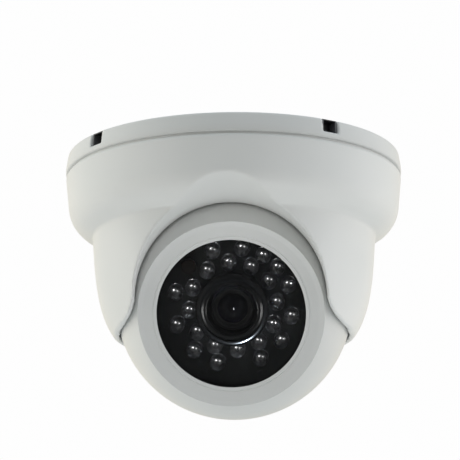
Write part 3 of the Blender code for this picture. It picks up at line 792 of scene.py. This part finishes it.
def socket_screw_mesh(outline, socket_r, socket_depth, edge):
    """A screw whose head faces up, with a hexagonal socket sunk in its flat top.

    The outline lists the side of the screw from the head's rim down; the tip is closed flat.
    """
    sides = 48
    top = outline[0][1]
    skin = soften([(socket_r * 1.25, top)] + outline + [(0.0, outline[-1][1])], edge, 4, closed=False)
    verts, faces = lathe_mesh(skin, sides, False)
    hexagon = []
    for i in range(sides):
        turn = 2 * math.pi * i / sides
        wedge = (turn % (math.pi / 3)) - math.pi / 6
        reach = socket_r * math.cos(math.pi / 6) / math.cos(wedge)
        hexagon.append((reach * math.cos(turn) * MM, reach * math.sin(turn) * MM))
    rim = len(verts)
    verts += [(x, y, top * MM) for x, y in hexagon]
    verts += [(x, y, (top - socket_depth) * MM) for x, y in hexagon]
    verts.append((0.0, 0.0, (top - socket_depth - socket_r * 0.4) * MM))
    for i in range(sides):
        j = (i + 1) % sides
        faces.append([rim + i, i, j, rim + j])
        faces.append([rim + sides + i, rim + i, rim + j, rim + sides + j])
        faces.append([rim + 2 * sides, rim + sides + i, rim + sides + j])
    return verts, faces


# ---- cover

def cover_skin():
    top = bezier((COVER_R - 0.8, SEAM_Z), (COVER_R - 0.2, SEAM_Z), (COVER_R, SEAM_Z - 0.3),
                 (COVER_R, SEAM_Z - 0.9), 5)
    rounding = bezier(HAT_SHOULDER, (55.1, -22.2), (52.5, -25.3), HAT_FOOT, 36)
    drum = bezier((47.3, -28.6), (46.6, -42.0), (45.5, -54.0), (RIM_R + 0.5, RIM_Z + 0.5), 60)
    return top + rounding + drum + [(RIM_R - 0.3, RIM_Z)]


def opening_field(x, z):
    """Inside of the round-topped opening in the front, flared where it meets the lower rim."""
    arch = np.hypot(x, z - ARCH_Z) - SLOT_HALF
    flare_x = SLOT_HALF + OPENING_FILLET - np.abs(x)
    flare_z = RIM_Z + OPENING_FILLET + 0.2 - z
    corner = np.hypot(np.maximum(flare_x, 0), np.maximum(flare_z, 0)) - OPENING_FILLET
    corner = corner + np.minimum(np.maximum(flare_x, flare_z), 0)
    return np.where(z > ARCH_Z, arch, -corner)


def scoop_field(x, y, z):
    """Outside of the cone cut in the hat above the opening."""
    flare = math.radians(SCOOP_FLARE)
    reach = SCOOP_R + (-y - SCOOP_REACH) * math.tan(flare)
    return (reach - np.hypot(x, z - SCOOP_Z)) * math.cos(flare)


def make_cover_casting(looks):
    skin = profile_field([(-20, SEAM_Z)] + cover_skin() + [(-20, RIM_Z)])
    hollow = profile_field([(-20, 0), (53.7, 0), (53.2, -15.5), (52.0, -19.5), (49.5, -22.2),
                            (45.6, -24.2), (44.4, -27.5), (43.6, -38.0), (42.6, -45.0),
                            (39.6, -52.5), (-20, -52.5)])
    cheeks = [plane_field(azimuth, CHEEK_SLOPE, CHEEK_REACH) for azimuth in CHEEK_AZIMUTHS]

    def field(x, y, z):
        radius = np.hypot(x, y)
        outer = skin(radius, z)
        below_hat = HAT_FOOT[1] - z
        for cheek in cheeks:
            outer = smooth_max(outer, -smooth_max(-cheek(x, y, z), -below_hat, CHEEK_EDGE), CHEEK_EDGE)
        opening = np.maximum(opening_field(x, z), y + OPENING_DEPTH)
        outer = smooth_max(outer, -opening, OPENING_EDGE)
        cut = smooth_max(scoop_field(x, y, z), -opening, SCOOP_BLEND)
        outer = smooth_max(outer, cut, ARCH_EDGE)
        inner = smooth_max(hollow(radius, z), cut + SCOOP_WALL, WALL_EDGE)
        for azimuth in SCREW_AZIMUTHS:
            inner = smooth_max(inner, -post_field(x, y, azimuth, SCREW_R, BOSS_R), FILLET)
        collar = np.maximum(np.hypot(x, z - ARCH_Z) - SLOT_HALF - COLLAR_T, y + COLLAR_DEPTH)
        inner = smooth_max(inner, -collar, FILLET)
        solid = smooth_max(outer, -inner, WALL_EDGE)
        ball = np.sqrt(radius ** 2 + (z - BALL_Z) ** 2) - SOCKET_R
        solid = smooth_max(solid, -ball, LIP_EDGE)
        for azimuth in SCREW_AZIMUTHS:
            seat = post_field(x, y, azimuth, SCREW_R, SCREW_SEAT_R)
            head = np.maximum(seat, z - SCREW_HEAD_Z[0] - GAP)
            solid = smooth_max(solid, -head, WALL_EDGE)
            solid = np.maximum(solid, -post_field(x, y, azimuth, SCREW_R, SCREW_HOLE_R))
        return solid

    reach = COVER_R + 1
    cover = cast("cover_casting", field, (-reach, -reach, RIM_Z - 1), (reach, reach, SEAM_Z + 1),
                 COVER_CELL, looks["white_powder_coat"])
    place_piece(cover, "cover", "white_powder_coat", "cover_shell")
    return cover


def make_cover_screws(looks):
    low = SCREW_HEAD_Z[1]
    head = low - SCREW_HEAD_Z[0]
    side = [(2.5, 0.0), (3.0, -0.7), (3.0, head), (1.5, head), (1.5, -14.2)]
    screw = socket_screw_mesh(side, 1.15, 1.2, 0.3)
    for i, azimuth in enumerate(SCREW_AZIMUTHS):
        place = Matrix.Translation(polar(SCREW_R, azimuth, low) * MM) @ Matrix.Rotation(math.pi, 4, "X")
        meshed(looks, f"cover_screw_detail_{i + 1}", screw, place, "cover", "stainless",
               f"cover_screw_{i + 1}")


# ---- ball

def sphere_angle(radius, axial):
    """Angle, in degrees, at which a sphere reaches a height along the lens axis."""
    return math.degrees(math.asin(axial / radius))


def make_ball_front(looks):
    rim_rho = BEZEL_R + BEZEL_FIT
    rim_angle = math.degrees(math.acos(rim_rho / BALL_R))
    split_angle = sphere_angle(BALL_R, SPLIT_A)
    outside = arc(BALL_R, rim_angle + 0.1, split_angle + 0.3, 48)
    edge = [(BALL_R - 0.02, SPLIT_A + 0.2), (BALL_R - 0.35, SPLIT_A), (BALL_INNER_R, SPLIT_A)]
    edge = soften(edge, BALL_WALL_EDGE, 3, closed=False)
    floor_back = SEAT_A - 2.4
    inside = arc(BALL_INNER_R, split_angle, sphere_angle(BALL_INNER_R, 10.0), 16)
    inside += [(31.2, 10.0), (31.2, 12.6)]
    inside += arc(BALL_INNER_R, sphere_angle(BALL_INNER_R, 12.6),
                  sphere_angle(BALL_INNER_R, floor_back), 12)
    rim_top = BALL_R * math.sin(math.radians(rim_angle)) - 0.3
    seat = [(26.4, floor_back), (26.4, SEAT_A), (rim_rho, SEAT_A), (rim_rho, rim_top)]
    return turned(looks, "ball_front", outside + edge + inside + seat, "eyeball", "white_powder_coat",
                  "ball_front_shell", sides=224)


def make_ball_rear(looks):
    white = looks["white_powder_coat"]
    back = SPLIT_A - GAP
    outside = [(BALL_R - 0.4, back), (BALL_R - 0.12, back - 0.05)]
    outside += arc(BALL_R, sphere_angle(BALL_R, back) - 0.3,
                   -math.degrees(math.acos(CABLE_HOLE_R / BALL_R)), 64)
    inside = arc(BALL_INNER_R, -math.degrees(math.acos(CABLE_HOLE_R / BALL_INNER_R)),
                 sphere_angle(BALL_INNER_R, back - 1.2), 24)
    outline = outside + inside + [(38.0, back - 1.2), (38.0, back)]
    shell = lathe("ball_rear", outline, white, EYE, sides=224)
    pocket_side = [(0, POCKET_FLOOR), (POCKET_R, POCKET_FLOOR), (POCKET_R, -40), (0, -40)]
    cutters = []
    for i, angle in enumerate(SHELL_SCREW_ANGLES):
        spot = polar(SHELL_SCREW_R, angle)
        place = EYE @ Matrix.Translation(Vector((spot.x, spot.y, 0)) * MM)
        pocket = lathe(f"pocket_cutter_{i}", pocket_side, white, place, sides=32, closed=False)
        step = shell.modifiers.new("Pocket", "BOOLEAN")
        step.operation = "DIFFERENCE"
        step.object = pocket
        cutters.append(pocket)
    apply_modifiers(shell)
    for pocket in cutters:
        bpy.data.objects.remove(pocket)
    shell.data.set_sharp_from_angle(angle=math.radians(35))
    place_piece(shell, "eyeball", "white_powder_coat", "ball_rear_shell")


def apply_modifiers(obj):
    made = bpy.data.meshes.new_from_object(obj.evaluated_get(bpy.context.evaluated_depsgraph_get()))
    obj.modifiers.clear()
    obj.data = made


def make_ball_trim(looks):
    gasket = [(38.9, -4.02), (38.9, -4.28), (36.2, -4.28), (36.2, -4.02)]
    turned(looks, "ball_seam_gasket", gasket, "eyeball", "black_rubber", "ball_gasket")
    leg = SEAT_A + GAP
    front = BEZEL_FRONT
    lip = BEZEL_INNER_R + 1.2
    rim = [(BEZEL_R, front - 0.25), (BEZEL_R, leg), (28.4, leg), (28.4, WINDOW_FRONT + GAP)]
    inner = [(BEZEL_INNER_R, WINDOW_FRONT + GAP), (BEZEL_INNER_R + 0.1, front - 0.9),
             (BEZEL_INNER_R + 0.5, front - 0.72), (lip - 0.1, front - 0.7), (lip, front - 0.98),
             (lip + 0.3, front - 0.98), (lip + 0.4, front - BEZEL_DISH)]
    dish = [(lip + 2.0, front - 0.8), (lip + 3.2, front - 0.72), (BEZEL_R - 1.0, front - 0.54)]
    outline = soften(rim + inner + dish, 0.3, 5, closed=False)
    bezel = turned(looks, "bezel", outline, "eyeball", "grey_paint", "bezel_ring", sides=224, sharp=50)
    back = WINDOW_FRONT - WINDOW_T
    glass = [(0, WINDOW_FRONT), (27.6, WINDOW_FRONT), (28.0, WINDOW_FRONT - 0.3), (28.0, back),
             (0, back)]
    turned(looks, "window_pane", soften(glass, 0.2, 3, closed=False), "eyeball", "smoked_glass",
           "window_glass", closed=False)
    pad = [(28.0, back - GAP), (28.0, leg), (25.9, leg), (25.9, back - GAP)]
    turned(looks, "window_seal", soften(pad, 0.3), "eyeball", "black_rubber", "window_gasket")
    return bezel


# ---- camera module

def make_module(looks):
    tub = [(FRAME_FLANGE_R, 9.6), (FRAME_FLANGE_R, 7.6), (FRAME_R, 7.6), (FRAME_R, -10.5), (8.0, -10.5),
           (8.0, -9.0), (28.0, -9.0), (28.0, 2.0), (26.0, 2.0), (26.0, 3.7), (28.0, 3.7), (28.0, 9.6)]
    turned(looks, "module_tub", soften(tub, 0.3), "camera_module", "black_plastic", "module_frame")
    back = BOARD_FRONT - BOARD_T
    board = [(LED_BOARD_R, BOARD_FRONT), (LED_BOARD_R, back), (9.6, back), (9.6, BOARD_FRONT)]
    turned(looks, "led_board_detail", soften(board, 0.12), "camera_module", "black_board", "led_board")


def make_hood(looks):
    """The hood round the lens: its wall, and the crest that stands inside its lip."""
    foot = BOARD_FRONT + GAP
    lip = arc(1.7, 90, 0, 12, (HOOD_LIP_R - 1.7, HOOD_FRONT - 1.7))
    wall = [(HOOD_LIP_R, 15.6), (HOOD_R, 15.0), (HOOD_R, foot), (8.4, foot), (8.4, HOOD_FRONT - 1.5),
            (10.3, HOOD_FRONT - 1.5)]
    wall = soften(wall, 0.15, 3, closed=False)
    hood = lathe("lens_hood_detail", lip + wall, looks["hood_black"], EYE, sharp=50)
    rim = [(8.4, HOOD_FRONT - 1.7), (8.4, HOOD_FRONT - 0.2), (8.6, HOOD_FRONT), (9.4, HOOD_FRONT - 0.1),
           (10.2, HOOD_FRONT - 0.8), (10.3, HOOD_FRONT - 1.7)]
    crest = lathe("lens_hood_crest", soften(rim, 0.12, 3), looks["satin_black"], EYE, sharp=50)
    place_piece(hood, "camera_module", "black_plastic", "lens_hood")
    place_piece(crest, "camera_module", "black_plastic", "lens_hood")
    return hood, crest


def make_board_components(looks):
    """Chip resistors lying on the board, outside the rings of lamps."""
    shapes = []
    for angle in RESISTOR_ANGLES:
        turn = math.radians(angle)
        spot = Vector((RESISTOR_RING_R * math.cos(turn), RESISTOR_RING_R * math.sin(turn),
                       BOARD_FRONT + 0.35))
        shapes.append(turned_block((2.0, 1.2, 0.5), spot, turn + math.pi / 2))
    meshed(looks, "led_board_resistors", gather(shapes), EYE, "camera_module", "chip")


def turned_block(size, centre, turn):
    verts, faces = block_mesh(size, (0, 0, 0), min(size) * 0.15)
    place = Matrix.Translation(centre * MM) @ Matrix.Rotation(turn, 4, "Z")
    return [tuple(place @ Vector(v)) for v in verts], faces


def led_spots():
    spots = [(LED_RING_R[0], angle) for angle in LED_INNER_ANGLES]
    return spots + [(LED_RING_R[1], angle) for angle in LED_OUTER_ANGLES]


def board_place(radius, angle):
    """Place of a part on the LED board, at an angle round the lens axis."""
    turn = math.radians(angle)
    return EYE @ Matrix.Translation((radius * math.cos(turn) * MM, radius * math.sin(turn) * MM, 0))


def led_epoxy_outline():
    base = BOARD_FRONT + GAP
    top = base + LED_H
    dome = arc(LED_R, 90, 0, 14, (0, top - LED_R))
    return dome + [(LED_R, base + 1.1)] + arc(0.1, 90, 0, 2, (LED_FLANGE_R - 0.1, base + 0.9)) + [
        (LED_FLANGE_R, base), (0, base)]


def led_inside():
    """Lead frame: a post, an anvil with its reflector cup and chip, and the bond wire."""
    base = BOARD_FRONT + GAP
    cup_top = base + 4.6
    cup = [(1.25, cup_top), (1.0, cup_top - 1.3), (0.0, cup_top - 1.3), (0.0, cup_top - 0.7),
           (0.55, cup_top - 0.7), (1.1, cup_top)]
    chip = block_mesh((0.55, 0.55, 0.3), (0, 0, cup_top - 0.5), 0.05)
    anvil = block_mesh((1.7, 0.5, 2.6), (0.1, 0, base + 2.0), 0.08)
    leg = block_mesh((0.5, 0.5, 1.0), (-0.9, 0, base + 0.6), 0.08)
    post = block_mesh((0.6, 0.5, 3.8), (1.75, 0, base + 2.1), 0.08)
    wire = block_mesh((1.6, 0.06, 0.06), (0.95, 0, cup_top + 0.1), 0.01)
    return gather([lathe_mesh(cup, 24, False), chip, anvil, leg, post, wire])


def make_leds(looks):
    epoxy = led_epoxy_outline()
    inside = led_inside()
    glossy = []
    for i, (radius, angle) in enumerate(led_spots()):
        place = board_place(radius, angle) @ Matrix.Rotation(math.radians(angle) * 3, 4, "Z")
        body = turned(looks, f"led_{i + 1:02d}_epoxy", epoxy, "camera_module", "led_clear",
                      f"ir_led_{i + 1:02d}", place=place, sides=40, closed=False, sharp=50)
        glossy.append(body)
        meshed(looks, f"led_{i + 1:02d}_lead_frame", inside, place, "camera_module", "spring_steel")
    return glossy


def make_light_sensor(looks):
    base = BOARD_FRONT + GAP
    cell = [(0, base + 2.4), (2.3, base + 2.4), (2.5, base + 2.1), (2.5, base), (0, base)]
    turned(looks, "light_sensor_cell", soften(cell, 0.15, 3, closed=False), "camera_module",
           "sensor_cell", "light_sensor", place=board_place(LED_RING_R[1], SENSOR_ANGLE), sides=48,
           closed=False)


def make_lens(looks):
    barrel = [(6.6, 15.2), (7.0, 14.8), (7.0, 6.6), (5.9, 6.2), (5.9, -3.4), (4.4, -3.4), (4.4, 12.4),
              (5.2, 12.4), (5.2, 13.4), (5.5, 13.4), (5.5, 14.0), (5.9, 14.0), (5.9, 14.6), (6.2, 14.6),
              (6.2, 15.2)]
    turned(looks, "lens_barrel_detail", soften(barrel, 0.12, 3), "lens", "lens_black", "lens_barrel",
           sides=96)
    dome = bezier((0, 14.6), (2.2, 14.6), (3.9, 13.9), (4.9, 12.8), 16)
    element = turned(looks, "lens_front_element", dome + [(4.9, 12.7), (0, 12.7)], "lens",
                     "coated_glass", "lens_front_glass", sides=64, closed=False)
    ring = [(8.3, 5.8), (8.3, 3.7), (6.25, 3.7), (6.25, 5.8)]
    turned(looks, "lens_lock_ring_detail", soften(ring, 0.25), "lens", "lens_black", "lens_lock_ring",
           sides=96)
    return element


# ---- frame pieces that stay

KEPT = {
    "pan_rotor": "cast_zinc", "pan_retaining_ring": "spring_steel", "seat_spring": "spring_steel",
    "ball_seat": "nylon", "shell_screw_1": "stainless", "shell_screw_2": "stainless",
    "shell_screw_3": "stainless", "roll_clamp_ring": "black_plastic", "ball_cable_gland": "black_rubber",
    "lens_holder": "black_plastic", "sensor_board": "green_board", "image_sensor": "chip",
    "power_board": "green_board", "power_connector": "nylon",
}


def finish_kept_nodes(looks):
    for node, slot in KEPT.items():
        mesh = frame["nodes"][node].data
        mesh.materials.clear()
        mesh.materials.append(looks[slot])


# ---- stage

def make_floor():
    centre = (0, FLOOR_SIZE / 2 - FLOOR_FRONT, FLOOR_Z / MM - FLOOR_T / 2)
    verts, faces = block_mesh((FLOOR_SIZE, FLOOR_SIZE, FLOOR_T), centre, 2)
    look = surface("floor_paper", (0.8, 0.8, 0.8), (0.82, 0.82, 0.82), (0.7, 0.8), 0, 200, 0.02, 8)
    floor = mesh_object("floor", verts, faces, look)


def math_node(tree, operation, value, by):
    node = tree.nodes.new("ShaderNodeMath")
    node.operation = operation
    node.inputs[1].default_value = by
    tree.links.new(value, node.inputs[0])
    return node.outputs["Value"]


def lobe(tree, axis, colour, strength):
    """Light from one way along an axis, falling to none at a right angle to it."""
    where = tree.nodes.new("ShaderNodeTexCoord")
    aim = tree.nodes.new("ShaderNodeVectorMath")
    aim.operation = "DOT_PRODUCT"
    aim.inputs[1].default_value = axis
    tree.links.new(where.outputs["Generated"], aim.inputs[0])
    facing = math_node(tree, "MAXIMUM", aim.outputs["Value"], 0.0)
    narrowed = math_node(tree, "POWER", facing, GLOW_FALLOFF)
    glow = tree.nodes.new("ShaderNodeBackground")
    glow.inputs["Color"].default_value = (*colour, 1.0)
    tree.links.new(math_node(tree, "MULTIPLY", narrowed, strength), glow.inputs["Strength"])
    return glow.outputs["Background"]


def make_world():
    """White to the camera; as light, a soft glow from each side, from above and from behind."""
    world = bpy.data.worlds.new("studio")
    bpy.context.scene.world = world
    world.use_nodes = True
    tree = world.node_tree
    tree.nodes.clear()
    total = None
    for axis, colour, strength in WORLD_GLOWS:
        glow = lobe(tree, axis, colour, strength)
        if total:
            add = tree.nodes.new("ShaderNodeAddShader")
            tree.links.new(total, add.inputs[0])
            tree.links.new(glow, add.inputs[1])
            glow = add.outputs["Shader"]
        total = glow
    backdrop = tree.nodes.new("ShaderNodeBackground")
    backdrop.inputs["Color"].default_value = (0.99, 0.99, 0.99, 1.0)
    path = tree.nodes.new("ShaderNodeLightPath")
    mix = tree.nodes.new("ShaderNodeMixShader")
    output = tree.nodes.new("ShaderNodeOutputWorld")
    tree.links.new(path.outputs["Is Camera Ray"], mix.inputs["Fac"])
    tree.links.new(total, mix.inputs[1])
    tree.links.new(backdrop.outputs["Background"], mix.inputs[2])
    tree.links.new(mix.outputs["Shader"], output.inputs["Surface"])


def soft_box(name, azimuth, elevation, distance, size, power, colour=(1, 1, 1), specular_only=False):
    """Area light that faces the ball from a direction, out of the camera's sight."""
    light = bpy.data.lights.new(name, "AREA")
    light.shape = "RECTANGLE"
    light.size, light.size_y = size
    light.energy = power
    light.color = colour
    obj = add_object(name, light)
    flat = math.cos(math.radians(elevation)) * distance
    centre = Vector((0, 0, BALL_Z * MM))
    obj.location = centre + polar(flat, azimuth, math.sin(math.radians(elevation)) * distance)
    obj.rotation_euler = (centre - obj.location).to_track_quat("-Z", "Y").to_euler()
    obj.visible_camera = False
    obj.visible_diffuse = not specular_only
    return obj


def light_only(light, name, pieces, shaded_by_all):
    """Lets a light reach some pieces, shaded by everything or by those pieces alone."""
    lit = bpy.data.collections.new(name)
    for piece in pieces:
        lit.objects.link(piece)
    light.light_linking.receiver_collection = lit
    if not shaded_by_all:
        light.light_linking.blocker_collection = lit


def make_lights(lit):
    soft_box("below", 0, -60, 0.45, (0.6, 0.5), 0.14, (1.0, 0.995, 0.97))
    for name, target, azimuth, elevation, distance, size, power, shaded_by_all in PIECE_LIGHTS:
        light = soft_box(name, azimuth, elevation, distance, size, power)
        light_only(light, name, lit[target], shaded_by_all)
    for name, target, azimuth, elevation, size, power, colour in GLINTS:
        light = soft_box(name, azimuth, elevation, GLINT_DISTANCE, size, power, colour, True)
        light_only(light, name, lit[target], shaded_by_all=False)


def right_and_up(ahead):
    right = ahead.cross(Vector((0, 0, 1))).normalized()
    return right, right.cross(ahead)


def make_camera():
    turn = math.radians(VIEW_ELEVATION)
    back = polar(math.cos(turn), VIEW_AZIMUTH, math.sin(turn))
    spot = VIEW_TARGET + back * VIEW_DISTANCE
    right, up = right_and_up(-back)
    aim = VIEW_TARGET + up * VIEW_RAISE + right * VIEW_SIDE
    ahead = (aim - spot).normalized()
    right, up = right_and_up(ahead)
    roll = math.radians(VIEW_ROLL)
    across = right * math.cos(roll) + up * math.sin(roll)
    upright = up * math.cos(roll) - right * math.sin(roll)
    place = Matrix((across, upright, -ahead)).transposed().to_4x4()
    place.translation = spot
    camera = add_object("camera", bpy.data.cameras.new("camera"))
    camera.data.lens = LENS_MM
    camera.data.sensor_width = 36.0
    camera.data.clip_start = 0.05
    camera.matrix_world = place
    bpy.context.scene.camera = camera


def main():
    looks = make_materials()
    make_camera()
    make_world()
    make_floor()
    make_base_ring(looks)
    make_ceiling_plate(looks)
    make_base_details(looks)
    cover = make_cover_casting(looks)
    make_cover_screws(looks)
    shell = make_ball_front(looks)
    make_ball_rear(looks)
    bezel = make_ball_trim(looks)
    make_module(looks)
    hood, crest = make_hood(looks)
    make_board_components(looks)
    lamps = make_leds(looks)
    make_light_sensor(looks)
    element = make_lens(looks)
    make_lights({"cover": [cover], "ball": [shell, bezel], "bezel": [bezel], "hood": [hood],
                 "crest": [crest], "lens": [element], "lamps": lamps})
    finish_kept_nodes(looks)
    bpy.context.scene.view_settings.view_transform = "Standard"


main()
